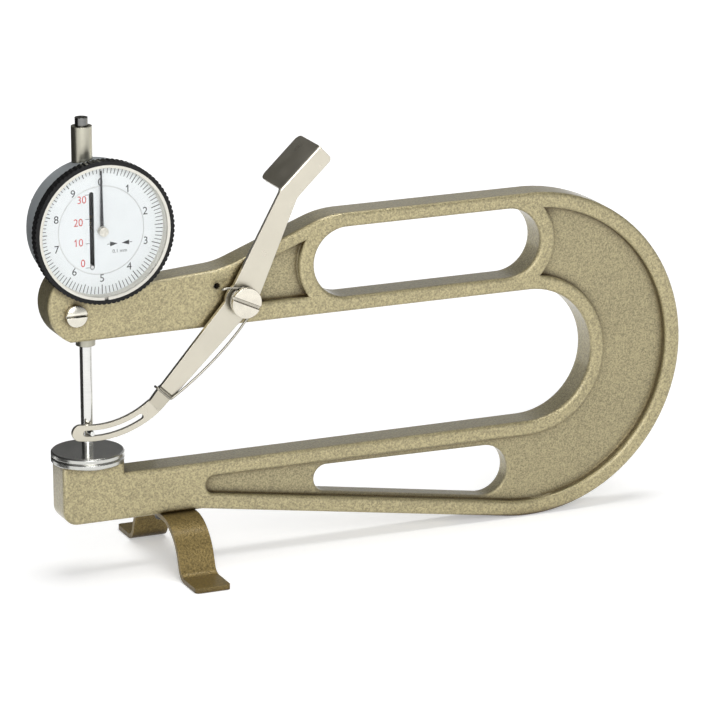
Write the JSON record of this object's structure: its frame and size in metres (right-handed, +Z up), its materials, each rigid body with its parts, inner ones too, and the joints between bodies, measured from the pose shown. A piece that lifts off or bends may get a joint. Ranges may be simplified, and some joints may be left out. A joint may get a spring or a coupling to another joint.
{
  "type": "thickness gauge",
  "caption": "Deep-throat thickness gauge: cast bow frame, dial indicator with flat round contacts, a lifting lever with a thumb tab and a bent strap stand.",
  "frame": {"origin": "middle of the bounding box at the level of the feet and of the bow's lowest point", "axes": "+Z up along the spindle, +X from the spindle towards the closed end of the bow, +Y from the dial's front to its back"},
  "size_m": [0.2912, 0.092, 0.1902],
  "materials": {
    "frame_paint": "hammertone gold paint",
    "nickel": "warm nickel plate",
    "steel": "turned and ground",
    "housing_grey": "satin grey",
    "black_bezel": "black, fine flutes",
    "dial_white": "printed white dial",
    "pointer_grey": "dark grey",
    "ring_cream": "cream",
    "crystal": "clear",
    "brass": "turned",
    "spring_steel": "drawn wire",
    "screw_dark": "blackened",
    "strap_bronze": "bronze brown"
  },
  "bodies": {
    "base": {"frame": "frame_paint", "anvil": "steel", "anvil_screw": "screw_dark", "stem": "nickel", "upper_sleeve": "nickel", "dial_housing": "housing_grey", "back_cover": "housing_grey", "back_screws": "nickel", "movement_plate": "brass", "plate_screws": "steel", "front_bush": "brass", "rear_bush": "brass", "guide_rod": "steel", "return_spring": "spring_steel", "dial_face": "dial_white", "bezel_ring": "spring_steel", "clamp_screw": "nickel", "clamp_shoe": "brass", "pivot_screw": "nickel", "pivot_washer": "nickel", "lever_spring": "spring_steel", "stand_strap": "strap_bronze", "stand_screws": "screw_dark"},
    "plunger": {"spindle": "steel", "spindle_cap": "nickel", "contact_disc": "steel", "lift_pin": "steel", "spring_arm": "brass", "travel_marker": "dial_white"},
    "hand": {"pointer_arbor": "steel", "pointer": "pointer_grey"},
    "bezel": {"bezel": "black_bezel", "scale_ring": "dial_white", "spacer_ring": "ring_cream", "crystal": "crystal", "snap_ring": "ring_cream"},
    "lever": {"lift_lever": "nickel"}
  },
  "joints": [
    {"name": "spindle_slide", "type": "slide", "parent": "base", "child": "plunger", "axis": [0, 0, 1], "range_m": [0, 0.03], "stiffness_N_per_m": 25, "springref_m": -0.04, "deforming": ["return_spring"]},
    {"name": "pointer_spin", "type": "hinge", "parent": "base", "child": "hand", "pos_m": [-0.1161, 0, 0.1459], "axis": [0, 1, 0], "range_deg": [0, 1081]},
    {"name": "lever_pivot", "type": "hinge", "parent": "base", "child": "lever", "pos_m": [-0.05565, 0, 0.11005], "axis": [0, 1, 0], "range_deg": [0, 27.8], "deforming": ["lever_spring"]},
    {"name": "bezel_turn", "type": "hinge", "parent": "base", "child": "bezel", "pos_m": [-0.1161, 0, 0.1459], "axis": [0, 1, 0], "continuous": true}
  ],
  "couplings": [
    {"joint": "pointer_spin", "follows": "spindle_slide", "rad_per_m": 628.32},
    {"joint": "lever_pivot", "follows": "spindle_slide", "rad_per_m": 16.129}
  ]
}
